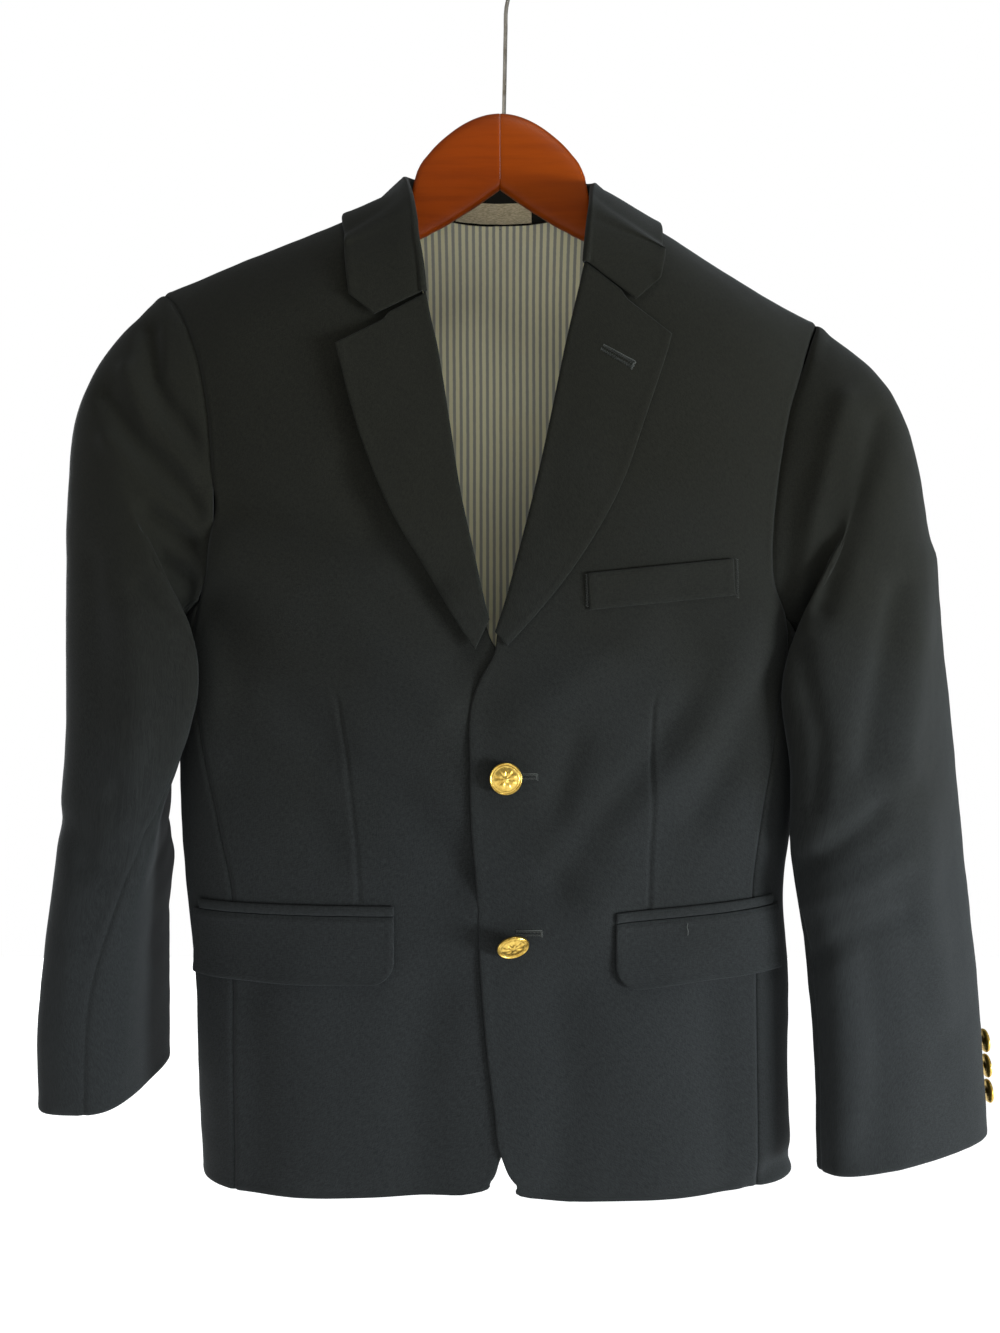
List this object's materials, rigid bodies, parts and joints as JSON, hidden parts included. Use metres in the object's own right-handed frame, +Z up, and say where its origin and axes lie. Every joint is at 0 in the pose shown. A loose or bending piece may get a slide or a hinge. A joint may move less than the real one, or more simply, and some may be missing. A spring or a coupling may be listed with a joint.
{
  "type": "blazer on a hanger",
  "caption": "Boy's tailored two-button blazer with notched lapels, flap pockets, a breast welt and metal buttons, hanging open-bottomed on a curved wooden hanger with a wire hook",
  "frame": {"origin": "the inside top of the hanger's hook, where the rail would touch it", "axes": "+X is the wearer's left, -Y is the front of the blazer, +Z is up"},
  "size_m": [0.5658, 0.1328, 0.7513],
  "materials": {
    "wool": "matte",
    "striped_lining": "satin",
    "label": "satin",
    "gilt_metal": "polished",
    "stained_wood": "satin",
    "steel": "satin"
  },
  "bodies": {
    "root": {"back_lining": "striped_lining", "breast_welt": "wool", "collar": "wool", "front_button_lower": "gilt_metal", "front_button_upper": "gilt_metal", "hanger_hook": "steel", "hanger_left_arm": "stained_wood", "hanger_right_arm": "stained_wood", "left_back": "wool", "left_cuff_button_1": "gilt_metal", "left_cuff_button_2": "gilt_metal", "left_cuff_button_3": "gilt_metal", "left_flap": "wool", "left_front": "wool", "left_lapel": "wool", "left_pocket_welt": "wool", "left_side_panel": "wool", "left_top_sleeve": "wool", "left_under_sleeve": "wool", "neck_label": "label", "right_back": "wool", "right_cuff_button_1": "gilt_metal", "right_cuff_button_2": "gilt_metal", "right_cuff_button_3": "gilt_metal", "right_flap": "wool", "right_front": "wool", "right_lapel": "wool", "right_pocket_welt": "wool", "right_side_panel": "wool", "right_top_sleeve": "wool", "right_under_sleeve": "wool"}
  },
  "joints": []
}
